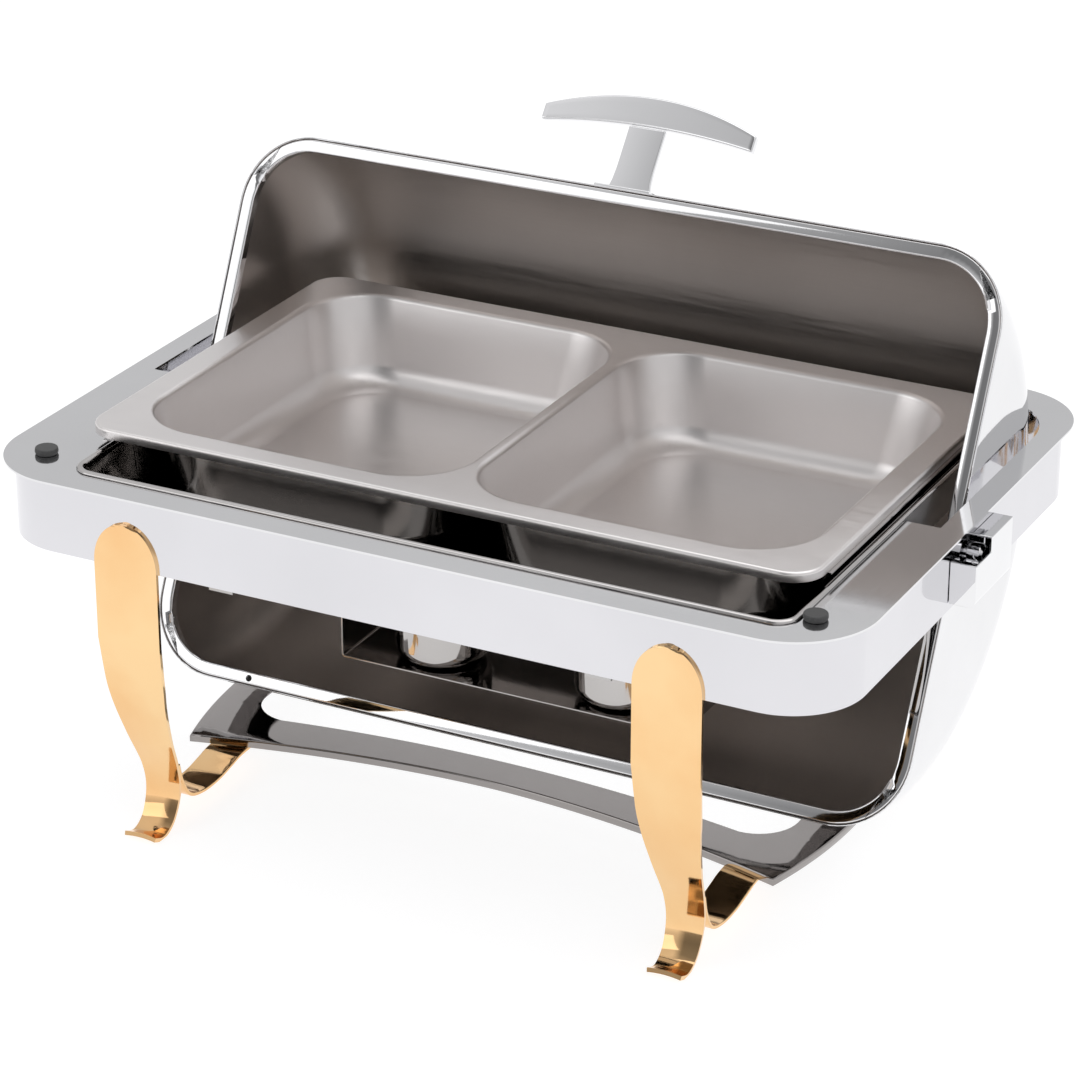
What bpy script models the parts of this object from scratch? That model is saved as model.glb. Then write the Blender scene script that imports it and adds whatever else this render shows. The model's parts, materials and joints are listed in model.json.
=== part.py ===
"""Roll-top chafing dish food warmer: a half-drum lid that turns round a divided food pan.

Metres, +Z up, -Y is the front, and the origin is on the floor under the middle of the frame.
"""

import math

import bmesh
import bpy
from mathutils import Matrix, Vector

# Fits between neighbouring pieces
GAP = 0.0003
BORE_PLAY = 0.0003
SWEEP_GAP = 0.0065
SWEEP_GAP_SIDE = 0.0039

# Frame: top plate and the skirt under it
PLATE_HALF_X = 0.3130
PLATE_HALF_Y = 0.2230
PLATE_TOP = 0.2575
PLATE_WALL = 0.0015
PLATE_CORNER = 0.058
SKIRT_INSET = 0.0072
SKIRT_WALL = 0.0012
SKIRT_BOTTOM = 0.2040

# Lid: a drum about the hinge axis, cut off by the plane of its rim
AXIS_Z = 0.2340
LID_RADIUS = 0.1970
LID_HALF_X = 0.2890
LID_CORNER = 0.052
LID_WALL = 0.0010
RIM_OFFSET = 0.0285
RIM_DEPTH = 0.0070
RIM_WIDTH = 0.0107
LID_OPEN_ANGLE = math.radians(116.0)

# Pivots
EAR_WALL = 0.0025
EAR_RADIUS = 0.0130
EAR_LAP = 0.0240
PIN_RADIUS = 0.0040
PIN_HEAD_RADIUS = 0.0075
PIN_HEAD_LENGTH = 0.0105
PIVOT_NUT_RADIUS = 0.0070
PIVOT_NUT_LENGTH = 0.0042
BRACKET_DEPTH = 0.0180
BRACKET_FRONT = -0.0300
BRACKET_REAR = 0.0330
BRACKET_BELOW = 0.0245
BRACKET_ABOVE = 0.0155
BRACKET_MOUTH = 0.0050
BRACKET_WALL = 0.0015
BRACKET_COVER_Y = -0.0040
BRACKET_ROUND = 0.0050

# Water pan in the plate's opening
WELL_LEFT = -0.2455
WELL_RIGHT = 0.2665
WELL_FRONT = -0.1975
WELL_REAR = 0.1745
WELL_DEPTH = 0.0650
WELL_WALL = 0.0012
WELL_DRAFT_X = 0.0070
WELL_DRAFT_FRONT = 0.0045
WELL_DRAFT_REAR = 0.0080
WELL_RIM = 0.0035
WELL_FRONT_CORNER = 0.012
WELL_REAR_CORNER = 0.030
OPENING_PLAY = 0.0015
BELT_PLAY = 0.0022
BELT_WALL = 0.0015
BELT_BOTTOM = 0.2320

# Food pan: a full-size divided pan
PAN_HALF_X = 0.2650
PAN_HALF_Y = 0.1625
PAN_CENTRE_Y = 0.0035
PAN_TOP = 0.2722
PAN_WALL = 0.0012
PAN_LIP = 0.0067
PAN_CORNER = 0.022
PAN_FLANGE = 0.0220
PAN_DEPTH = 0.0640
PAN_DRAFT = 0.0120
DIVIDER_WIDTH = 0.0110
POCKET_CORNER = 0.050
REST_WALL = 0.0010
REST_HALF_Y = 0.1360
REST_BELOW_RIM = 0.0270
REST_REACH = 0.0022

# Burner tray under the water pan
CRADLE_X = 0.1380
CRADLE_WIDTH = 0.0180
STRAP_WALL = 0.0015
TRAY_HALF_X = 0.1310
TRAY_HALF_Y = 0.0520
TRAY_ABOVE_LID = 0.0466
TRAY_WALL = 0.0012
TRAY_FLANGE = 0.0160
TRAY_SCREW_X = 0.1410
CUP_RADIUS = 0.0335
CUP_HEIGHT = 0.0520
CUP_WALL = 0.0010
CUP_ROUND = 0.0115
CUP_X = 0.0695
CUP_Y = -0.0175

# Handle on the lid's front
HANDLE_BACK = math.radians(5.0)
FOOT_ARC = math.radians(8.0)
FOOT_WIDTH = 0.0420
FOOT_WALL = 0.0025
POST_WIDTH = 0.0280
POST_WALL = 0.0040
POST_LENGTH = 0.0480
BAR_HALF = 0.0806
BAR_HEIGHT = 0.0215
BAR_WALL = 0.0060
BAR_RISE_OUTER = 0.0160
BAR_RISE_INNER = 0.0062
HANDLE_SCREW_X = 0.0175

# Legs, their straps and the shelf
LEG_X = 0.1965
LEG_WALL = 0.0030
LEG_HALF_WIDTH = 0.0240
LEG_TOP = 0.2360
STUD_RADIUS = 0.0025
STUD_Z = 0.2220
NUT_RADIUS = 0.0050
NUT_LENGTH = 0.0035
LEG_STRAP_WALL = 0.0025
LEG_STRAP_WIDTH = 0.0270
SHELF_TOP = 0.0260
SHELF_WALL = 0.0015
SHELF_LIP = 0.0055
SHELF_CORNER_X = 0.2235
SHELF_STUD_EDGE = 0.0180
SHELF_WAIST_DEPTH = 0.0345
SHELF_BOW_X = 0.2390
SHELF_HOLE_X = 0.2070
SHELF_HOLE_Y = 0.0440
SHELF_HOLE_END_Y = 0.0600
SHELF_STUD_REACH = 0.1258
SHELF_STUD_RADIUS = 0.0020
SHELF_WASHER_RADIUS = 0.0070

# Rubber bumpers on the front corners
BUMPER_RADIUS = 0.0080
BUMPER_X = 0.2786
BUMPER_Y = -0.1822

# Worked out from the sizes above
PLATE_UNDER = PLATE_TOP - PLATE_WALL
SKIRT_HALF_X = PLATE_HALF_X - SKIRT_INSET
SKIRT_HALF_Y = PLATE_HALF_Y - SKIRT_INSET
SKIRT_TOP = PLATE_UNDER - GAP
OPENING_LEFT = WELL_LEFT - OPENING_PLAY
OPENING_RIGHT = WELL_RIGHT + OPENING_PLAY
OPENING_FRONT = WELL_FRONT - OPENING_PLAY
SLOT_HALF_X = LID_HALF_X + GAP + EAR_WALL + SWEEP_GAP_SIDE
SLOT_REAR = LID_RADIUS + SWEEP_GAP
SLOT_FRONT = -(EAR_RADIUS + SWEEP_GAP + 0.003)
SLOT_CORNER = LID_CORNER + SWEEP_GAP
RIM_Z = PLATE_TOP + GAP
WELL_BOTTOM = PLATE_TOP - WELL_DEPTH
EAR_INNER_X = LID_HALF_X + GAP
EAR_OUTER_X = EAR_INNER_X + EAR_WALL
TRAY_FLOOR = AXIS_Z - LID_RADIUS + TRAY_ABOVE_LID
CUP_FLOOR = TRAY_FLOOR + TRAY_WALL / 2 + GAP
SHELF_STUD_Y = SKIRT_HALF_Y - SHELF_STUD_REACH
SHELF_CORNER_Y = SHELF_STUD_Y + SHELF_STUD_EDGE
SHELF_WAIST_Y = SHELF_CORNER_Y - SHELF_WAIST_DEPTH


def clear_scene():
    for obj in list(bpy.data.objects):
        bpy.data.objects.remove(obj, do_unlink=True)


def make_material(name, colour, metallic, roughness):
    material = bpy.data.materials.new(name)
    material.use_nodes = True
    shader = material.node_tree.nodes["Principled BSDF"]
    shader.inputs["Base Color"].default_value = (*colour, 1.0)
    shader.inputs["Metallic"].default_value = metallic
    shader.inputs["Roughness"].default_value = roughness
    return material


# One body from a bmesh
def add_object(name, bm, material=None, parent=None, smooth=False):
    bmesh.ops.remove_doubles(bm, verts=bm.verts, dist=1e-7)
    bmesh.ops.recalc_face_normals(bm, faces=bm.faces)
    mesh = bpy.data.meshes.new(name)
    bm.to_mesh(mesh)
    bm.free()
    if smooth:
        mesh.shade_smooth()
        mesh.set_sharp_from_angle(angle=math.radians(35.0))
    obj = bpy.data.objects.new(name, mesh)
    bpy.context.scene.collection.objects.link(obj)
    if material:
        mesh.materials.append(material)
    if parent:
        obj.parent = parent
    return obj


def as_tool(obj):
    obj.hide_render = True
    obj.display_type = "WIRE"
    return obj


def combine(target, tool, operation="DIFFERENCE"):
    modifier = target.modifiers.new(operation.title(), "BOOLEAN")
    modifier.operation = operation
    modifier.solver = "EXACT"
    modifier.object = as_tool(tool)
    return target


# A closed body through rings of points, with a face at each end
def loft(name, rings, material=None, parent=None, smooth=False):
    bm = bmesh.new()
    loops = [[bm.verts.new(point) for point in ring] for ring in rings]
    count = len(loops[0])
    for low, high in zip(loops, loops[1:]):
        for i in range(count):
            j = (i + 1) % count
            bm.faces.new((low[i], low[j], high[j], high[i]))
    bm.faces.new(list(reversed(loops[0])))
    bm.faces.new(loops[-1])
    return add_object(name, bm, material, parent, smooth)


# An outline (u, v) made into a plate between two depths, where place gives (u, v, depth) as x, y, z
def plate(name, outline, low, high, material=None, parent=None, place=None, smooth=False):
    place = place or (lambda u, v, depth: (u, v, depth))
    rings = [[place(u, v, depth) for u, v in outline] for depth in (low, high)]
    return loft(name, rings, material, parent, smooth)


def box(name, low, high, material=None, parent=None):
    outline = [(low[0], low[1]), (high[0], low[1]), (high[0], high[1]), (low[0], high[1])]
    return plate(name, outline, low[2], high[2], material, parent)


# A body turned about an axis: the profile is (radius, height along the axis)
def turned(name, profile, base, axis, material=None, parent=None, steps=24):
    bm = bmesh.new()
    points = [bm.verts.new((radius, 0.0, height)) for radius, height in profile]
    edges = [bm.edges.new((points[i], points[i + 1])) for i in range(len(points) - 1)]
    if profile[0][0] > 0.0:
        edges.append(bm.edges.new((points[-1], points[0])))
    bmesh.ops.spin(bm, geom=points + edges, cent=(0, 0, 0), axis=(0, 0, 1), angle=2 * math.pi,
                   steps=steps, use_merge=True)
    bmesh.ops.remove_doubles(bm, verts=bm.verts, dist=1e-7)
    turn = Vector((0, 0, 1)).rotation_difference(Vector(axis)).to_matrix().to_4x4()
    bmesh.ops.transform(bm, matrix=Matrix.Translation(base) @ turn, verts=bm.verts)
    return add_object(name, bm, material, parent, smooth=True)


def rod(name, radius, start, end, material=None, parent=None, steps=16):
    length = (Vector(end) - Vector(start)).length
    profile = [(0.0, 0.0), (radius, 0.0), (radius, length), (0.0, length)]
    return turned(name, profile, start, Vector(end) - Vector(start), material, parent, steps)


def ring_profile(inner, outer, length):
    return [(inner, 0.0), (outer, 0.0), (outer, length), (inner, length)]


def arc(centre_u, centre_v, radius, start, end, steps):
    turns = [math.radians(start + (end - start) * i / steps) for i in range(steps + 1)]
    return [(centre_u + radius * math.cos(t), centre_v + radius * math.sin(t)) for t in turns]


# A rectangle with rounded corners, counter-clockwise from the low-u low-v corner
def rounded(low_u, high_u, low_v, high_v, near, far=None, steps=6):
    far = near if far is None else far
    return (arc(low_u + near, low_v + near, near, 180, 270, steps)
            + arc(high_u - near, low_v + near, near, 270, 360, steps)
            + arc(high_u - far, high_v - far, far, 0, 90, steps)
            + arc(low_u + far, high_v - far, far, 90, 180, steps))


# A flat strip bent along a path (u, z), with its width across it
def strip(name, path, half_widths, thickness, place, material=None, smooth=False):
    count = len(path)
    rings = []
    for i, (u, z) in enumerate(path):
        before = Vector(path[max(i - 1, 0)])
        here = Vector((u, z))
        after = Vector(path[min(i + 1, count - 1)])
        into = (here - before).normalized() if i else (after - here).normalized()
        out = (after - here).normalized() if i < count - 1 else into
        side = Vector((-(into + out).y, (into + out).x)).normalized()
        reach = thickness / 2 / side.dot(Vector((-out.y, out.x)))
        half = half_widths[i]
        corners = ((-half, -reach), (half, -reach), (half, reach), (-half, reach))
        rings.append([place(u + side.x * r, w, z + side.y * r) for w, r in corners])
    return loft(name, rings, material, smooth=smooth)


# Points along a smooth curve through a few chosen ones (centripetal enough for close points)
def smooth_path(points, steps):
    ends = [points[0]] + points + [points[-1]]
    path = []
    for a, b, c, d in zip(ends, ends[1:], ends[2:], ends[3:]):
        for i in range(steps):
            t = i / steps
            path.append(tuple(
                0.5 * (2 * q + (r - p) * t + (2 * p - 5 * q + 4 * r - s) * t ** 2
                       + (3 * q - p - 3 * r + s) * t ** 3)
                for p, q, r, s in zip(a, b, c, d)))
    return path + [points[-1]]


# The drum that the lid is cut from, about the hinge axis, kept between two heights
def drum(name, radius, half_x, corner, low, high=None, material=None, parent=None, steps=56):
    ends = arc(0.0, 0.0, corner, 0, 90, 6)
    profile = [(radius - corner + v, half_x - corner + u) for u, v in ends]
    profile = [(0.0, half_x)] + profile
    profile += [(r, -x) for r, x in reversed(profile)]
    bm = bmesh.new()
    points = [bm.verts.new((x, r, 0.0)) for r, x in profile]
    edges = [bm.edges.new(pair) for pair in zip(points, points[1:])]
    bmesh.ops.spin(bm, geom=points + edges, cent=(0, 0, 0), axis=(1, 0, 0), angle=2 * math.pi,
                   steps=steps, use_merge=True)
    bmesh.ops.remove_doubles(bm, verts=bm.verts, dist=1e-6)
    for height, upward in ((low, -1.0), (high, 1.0)):
        if height is not None:
            geometry = list(bm.verts) + list(bm.edges) + list(bm.faces)
            cut = bmesh.ops.bisect_plane(bm, geom=geometry, plane_co=(0, 0, height),
                                         plane_no=(0, 0, upward), clear_outer=True)
            rim = [item for item in cut["geom_cut"] if isinstance(item, bmesh.types.BMEdge)]
            bmesh.ops.contextual_create(bm, geom=rim)
    return add_object(name, bm, material, parent, smooth=True)


def mirrored(sign, outline):
    return [(sign * u, v) for u, v in outline]


SIDES = (("left", -1), ("right", 1))
CORNERS = tuple((f"{end}_{side}", sx, sy) for end, sy in (("front", -1), ("rear", 1))
                for side, sx in SIDES)


def build_frame(steel, rubber):
    top = plate("frame_top", rounded(-PLATE_HALF_X, PLATE_HALF_X, -PLATE_HALF_Y, PLATE_HALF_Y,
                                     PLATE_CORNER, steps=8),
                PLATE_UNDER, PLATE_TOP, steel, smooth=True)
    bend = WELL_FRONT_CORNER + OPENING_PLAY
    slot = SLOT_HALF_X
    opening = (arc(OPENING_LEFT + bend, OPENING_FRONT + bend, bend, 180, 270, 4)
               + arc(OPENING_RIGHT - bend, OPENING_FRONT + bend, bend, 270, 360, 4)
               + [(OPENING_RIGHT, SLOT_FRONT), (slot, SLOT_FRONT)]
               + arc(slot - SLOT_CORNER, SLOT_REAR - SLOT_CORNER, SLOT_CORNER, 0, 90, 8)
               + arc(-slot + SLOT_CORNER, SLOT_REAR - SLOT_CORNER, SLOT_CORNER, 90, 180, 8)
               + [(-slot, SLOT_FRONT), (OPENING_LEFT, SLOT_FRONT)])
    combine(top, plate("opening_cut", opening, PLATE_UNDER - 0.01, PLATE_TOP + 0.01))

    corner = PLATE_CORNER - SKIRT_INSET
    skirt = plate("frame_skirt", rounded(-SKIRT_HALF_X, SKIRT_HALF_X, -SKIRT_HALF_Y, SKIRT_HALF_Y,
                                         corner, steps=8),
                  SKIRT_BOTTOM, SKIRT_TOP, steel, smooth=True)
    inner_x = SKIRT_HALF_X - SKIRT_WALL
    inner_y = SKIRT_HALF_Y - SKIRT_WALL
    combine(skirt, plate("skirt_cut", rounded(-inner_x, inner_x, -inner_y, inner_y,
                                              corner - SKIRT_WALL, steps=8),
                         SKIRT_BOTTOM - 0.01, SKIRT_TOP + 0.01))
    for side, sx in SIDES:
        combine(skirt, rod(f"pin_hole_{side}", PIN_RADIUS + BORE_PLAY,
                           (sx * (inner_x - 0.01), 0, AXIS_Z), (sx * (SKIRT_HALF_X + 0.01), 0, AXIS_Z)))
    for where, sx, sy in CORNERS:
        combine(skirt, rod(f"stud_hole_{where}", STUD_RADIUS + BORE_PLAY,
                           (sx * LEG_X, sy * (inner_y - 0.01), STUD_Z),
                           (sx * LEG_X, sy * (SKIRT_HALF_Y + 0.01), STUD_Z), steps=12))

    rim_z = AXIS_Z + RIM_OFFSET
    height = rim_z - GAP - (PLATE_TOP + GAP)
    edge = 0.0012
    for side, sx in SIDES:
        turned(f"bumper_{side}",
               [(0.0, 0.0), (BUMPER_RADIUS, 0.0), (BUMPER_RADIUS, height - edge),
                (BUMPER_RADIUS - edge, height), (0.0, height)],
               (sx * BUMPER_X, BUMPER_Y, PLATE_TOP + GAP), (0, 0, 1), rubber, steps=20)


# Where the water pan's walls stand at a height: left x, right x, front y, rear y
def well_walls(z, inset=0.0):
    drop = (PLATE_TOP - z) / WELL_DEPTH
    return (WELL_LEFT + WELL_DRAFT_X * drop + inset,
            WELL_RIGHT - WELL_DRAFT_X * drop - inset,
            WELL_FRONT + WELL_DRAFT_FRONT * drop + inset,
            WELL_REAR - WELL_DRAFT_REAR * drop - inset)


def well_outline(grow, steps=5):
    return rounded(WELL_LEFT - grow, WELL_RIGHT + grow, WELL_FRONT - grow, WELL_REAR + grow,
                   WELL_FRONT_CORNER + grow, WELL_REAR_CORNER + grow, steps)


def well_body(name, bottom, top, inset):
    rings = []
    for z in (bottom, top):
        outline = rounded(*well_walls(z, inset), WELL_FRONT_CORNER - inset, WELL_REAR_CORNER - inset,
                          steps=5)
        rings.append([(x, y, z) for x, y in outline])
    return loft(name, rings)


def build_water_pan(steel):
    pan = plate("water_pan", well_outline(WELL_RIM), RIM_Z, RIM_Z + WELL_WALL, steel, smooth=True)
    combine(pan, well_body("well_outside", WELL_BOTTOM, RIM_Z + WELL_WALL / 2, 0.0), "UNION")
    combine(pan, well_body("well_inside", WELL_BOTTOM + WELL_WALL, RIM_Z + 0.01, WELL_WALL))

    # Side rails stand against the well's walls and hold the food pan's lip above the plate
    inset = WELL_WALL + GAP + REST_WALL / 2
    foot = PLATE_TOP - REST_BELOW_RIM
    ledge = PAN_TOP - PAN_LIP - GAP - REST_WALL / 2
    step = RIM_Z + WELL_WALL + GAP + REST_WALL / 2
    end = PAN_HALF_X + REST_REACH
    riser = PAN_HALF_X - 0.0085
    left = [(-well_walls(foot, inset)[0], foot), (-well_walls(PLATE_TOP, inset)[0], PLATE_TOP),
            (-well_walls(PLATE_TOP, inset)[0], step), (riser, step), (riser, ledge), (end, ledge)]
    right = [(well_walls(foot, inset)[1], foot), (well_walls(foot, inset)[1], ledge), (end, ledge)]
    for side, sx, path in (("left", -1, left), ("right", 1, right)):
        strip(f"pan_rest_{side}", path, [REST_HALF_Y] * len(path), REST_WALL,
              lambda u, w, z, sx=sx: (sx * u, PAN_CENTRE_Y + w, z), steel)


def build_belt(steel):
    belt = plate("pan_belt", well_outline(BELT_PLAY + BELT_WALL), BELT_BOTTOM, RIM_Z - GAP, steel,
                 smooth=True)
    combine(belt, plate("belt_inside", well_outline(BELT_PLAY), BELT_BOTTOM - 0.01, RIM_Z + 0.01))
    combine(belt, box("belt_under_plate", (-0.4, -0.4, PLATE_UNDER - GAP),
                      (0.4, SLOT_FRONT + 0.001, RIM_Z + 0.01)))

    reach = GAP + STRAP_WALL / 2
    top = PLATE_TOP - 0.0080
    bottom = WELL_BOTTOM - reach
    path = [(well_walls(top)[2] - reach, top), (well_walls(WELL_BOTTOM)[2] - reach, bottom),
            (well_walls(WELL_BOTTOM)[3] + reach, bottom), (well_walls(top)[3] + reach, top)]
    for side, sx in SIDES:
        strap = strip(f"cradle_strap_{side}", path, [CRADLE_WIDTH / 2] * 4, STRAP_WALL,
                      lambda u, w, z, sx=sx: (sx * CRADLE_X + w, u, z), steel)
        combine(strap, rod(f"cradle_hole_{side}", SHELF_STUD_RADIUS + BORE_PLAY,
                           (sx * TRAY_SCREW_X, 0, bottom - 0.01), (sx * TRAY_SCREW_X, 0, bottom + 0.01)))


# One tapered compartment, as its outside or its inside
def pan_pocket(name, sign, top, inset):
    low_u = DIVIDER_WIDTH / 2 - PAN_WALL + inset
    high_u = PAN_HALF_X - PAN_FLANGE + PAN_WALL - inset
    half_v = PAN_HALF_Y - PAN_FLANGE + PAN_WALL - inset
    corner = POCKET_CORNER + PAN_WALL - inset
    floor = PAN_TOP - PAN_DEPTH - PAN_WALL + inset
    rings = []
    for z in (floor, floor + 0.0050, floor + 0.0160, top):
        narrow = PAN_DRAFT * (PAN_TOP - z) / PAN_DEPTH
        narrow += 0.0110 * max(0.0, 1.0 - (z - floor) / 0.0160) ** 2
        outline = rounded(low_u + narrow, high_u - narrow, -half_v + narrow, half_v - narrow,
                          corner - narrow * 0.6, steps=5)
        rings.append([(x, y + PAN_CENTRE_Y, z) for x, y in mirrored(sign, outline)])
    return loft(name, rings)


def build_food_pan(steel):
    outline = rounded(-PAN_HALF_X, PAN_HALF_X, PAN_CENTRE_Y - PAN_HALF_Y, PAN_CENTRE_Y + PAN_HALF_Y,
                      PAN_CORNER)
    inside = rounded(-PAN_HALF_X + PAN_WALL, PAN_HALF_X - PAN_WALL,
                     PAN_CENTRE_Y - PAN_HALF_Y + PAN_WALL, PAN_CENTRE_Y + PAN_HALF_Y - PAN_WALL,
                     PAN_CORNER - PAN_WALL)
    pan = plate("food_pan", outline, PAN_TOP - PAN_LIP, PAN_TOP, steel, smooth=True)
    combine(pan, plate("flange_underside", inside, PAN_TOP - PAN_LIP - 0.01, PAN_TOP - PAN_WALL))
    for side, sx in SIDES:
        combine(pan, pan_pocket(f"pocket_outside_{side}", sx, PAN_TOP - PAN_WALL / 2, 0.0), "UNION")
    for side, sx in SIDES:
        combine(pan, pan_pocket(f"pocket_inside_{side}", sx, PAN_TOP + 0.005, PAN_WALL))


def build_burners(steel, chrome):
    flange_top = WELL_BOTTOM - GAP - STRAP_WALL - GAP
    flange = flange_top - TRAY_WALL / 2
    reach = TRAY_HALF_X + TRAY_FLANGE
    path = [(-reach, flange), (-TRAY_HALF_X, flange), (-TRAY_HALF_X, TRAY_FLOOR),
            (TRAY_HALF_X, TRAY_FLOOR), (TRAY_HALF_X, flange), (reach, flange)]
    tray = strip("burner_tray", path, [TRAY_HALF_Y] * 6, TRAY_WALL, lambda u, w, z: (u, w, z), steel)
    screw_top = WELL_BOTTOM - GAP
    head = 0.0020
    for side, sx in SIDES:
        x = sx * TRAY_SCREW_X
        combine(tray, rod(f"tray_hole_{side}", SHELF_STUD_RADIUS + BORE_PLAY,
                          (x, 0, flange - 0.01), (x, 0, flange + 0.01)))
        base = flange_top - TRAY_WALL - GAP - head
        turned(f"tray_screw_{side}",
               [(0.0, 0.0), (0.0040, 0.0), (0.0040, head), (SHELF_STUD_RADIUS, head),
                (SHELF_STUD_RADIUS, screw_top - base), (0.0, screw_top - base)],
               (x, 0, base), (0, 0, 1), steel, steps=16)
        outside = [(CUP_RADIUS - CUP_ROUND + u, CUP_ROUND + v)
                   for u, v in arc(0, 0, CUP_ROUND, -90, 0, 4)]
        bend = CUP_ROUND - CUP_WALL
        inside = [(CUP_RADIUS - CUP_ROUND + u, CUP_ROUND + v) for u, v in arc(0, 0, bend, 0, -90, 4)]
        turned(f"burner_cup_{side}",
               [(0.0, 0.0)] + outside + [(CUP_RADIUS, CUP_HEIGHT), (CUP_RADIUS - CUP_WALL, CUP_HEIGHT)]
               + inside + [(0.0, CUP_WALL)],
               (sx * CUP_X, CUP_Y, CUP_FLOOR), (0, 0, 1), chrome, steps=28)


def build_pivots(steel, chrome):
    wall_in = SKIRT_HALF_X - SKIRT_WALL
    head_start = SKIRT_HALF_X + 0.0020
    pin_start = EAR_INNER_X - GAP - PIVOT_NUT_LENGTH - 0.0005
    shaft = head_start - pin_start
    for side, sx in SIDES:
        away = (sx, 0, 0)
        turned(f"pivot_pin_{side}",
               [(0.0, 0.0), (PIN_RADIUS, 0.0), (PIN_RADIUS, shaft), (PIN_HEAD_RADIUS, shaft),
                (PIN_HEAD_RADIUS, shaft + PIN_HEAD_LENGTH - 0.002),
                (PIN_HEAD_RADIUS - 0.002, shaft + PIN_HEAD_LENGTH), (0.0, shaft + PIN_HEAD_LENGTH)],
               (sx * pin_start, 0, AXIS_Z), away, chrome)
        turned(f"pivot_nut_{side}",
               ring_profile(PIN_RADIUS + BORE_PLAY, PIVOT_NUT_RADIUS, PIVOT_NUT_LENGTH),
               (sx * (EAR_INNER_X - GAP - PIVOT_NUT_LENGTH), 0, AXIS_Z), away, steel)
        turned(f"pivot_spacer_{side}",
               ring_profile(PIN_RADIUS + BORE_PLAY, PIVOT_NUT_RADIUS, wall_in - EAR_OUTER_X - 2 * GAP),
               (sx * (EAR_OUTER_X + GAP), 0, AXIS_Z), away, steel)
        near = SKIRT_HALF_X + GAP
        far = near + BRACKET_DEPTH
        low = AXIS_Z - BRACKET_BELOW
        high = AXIS_Z + BRACKET_ABOVE
        corner = arc(far - BRACKET_ROUND, low + BRACKET_ROUND, BRACKET_ROUND, -90, 0, 4)
        section = [(near, low)] + corner + [(far, high), (near, high)]
        bracket = plate(f"pivot_bracket_{side}", mirrored(sx, section), BRACKET_FRONT, BRACKET_REAR,
                        chrome, place=lambda u, v, depth: (u, depth, v), smooth=True)
        ins = sorted((sx * (near - 0.005), sx * (far - BRACKET_WALL)))
        combine(bracket, box(f"bracket_pocket_{side}",
                             (ins[0], BRACKET_FRONT + BRACKET_WALL, low + BRACKET_WALL),
                             (ins[1], BRACKET_REAR - BRACKET_WALL, high - BRACKET_WALL)))
        outs = sorted((sx * (near - 0.005), sx * (far + 0.005)))
        combine(bracket, box(f"bracket_mouth_{side}",
                             (outs[0], BRACKET_FRONT - 0.005, AXIS_Z + BRACKET_MOUTH),
                             (outs[1], BRACKET_COVER_Y, high + 0.005)))


def build_lid(hinge, mirror_steel, chrome, steel):
    shell = drum("lid_shell", LID_RADIUS, LID_HALF_X, LID_CORNER, RIM_OFFSET, None, mirror_steel, hinge)
    combine(shell, drum("lid_inside", LID_RADIUS - LID_WALL, LID_HALF_X - LID_WALL,
                        LID_CORNER - LID_WALL, RIM_OFFSET - 0.01, None, None, hinge))
    inset = LID_WALL + GAP
    rim = drum("lid_rim", LID_RADIUS - inset, LID_HALF_X - inset, LID_CORNER - inset, RIM_OFFSET,
               RIM_OFFSET + RIM_DEPTH, mirror_steel, hinge)
    inset += RIM_WIDTH - LID_WALL
    combine(rim, drum("rim_inside", LID_RADIUS - inset, LID_HALF_X - inset + 0.0007,
                      LID_CORNER - RIM_WIDTH, RIM_OFFSET - 0.01, RIM_OFFSET + RIM_DEPTH + 0.01,
                      None, hinge))

    top = RIM_OFFSET + EAR_LAP
    outline = arc(0, 0, EAR_RADIUS, 180, 360, 10) + arc(0, top - EAR_RADIUS, EAR_RADIUS, 0, 180, 8)
    for side, sx in SIDES:
        ear = plate(f"lid_ear_{side}", outline, sx * EAR_INNER_X, sx * EAR_OUTER_X, steel, hinge,
                    place=lambda u, v, depth: (depth, u, v))
        combine(ear, rod(f"ear_hole_{side}", PIN_RADIUS + BORE_PLAY, (sx * (EAR_INNER_X - 0.01), 0, 0),
                         (sx * (EAR_OUTER_X + 0.01), 0, 0), None, hinge, steps=24))
    build_handle(hinge, shell, chrome, steel)


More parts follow.
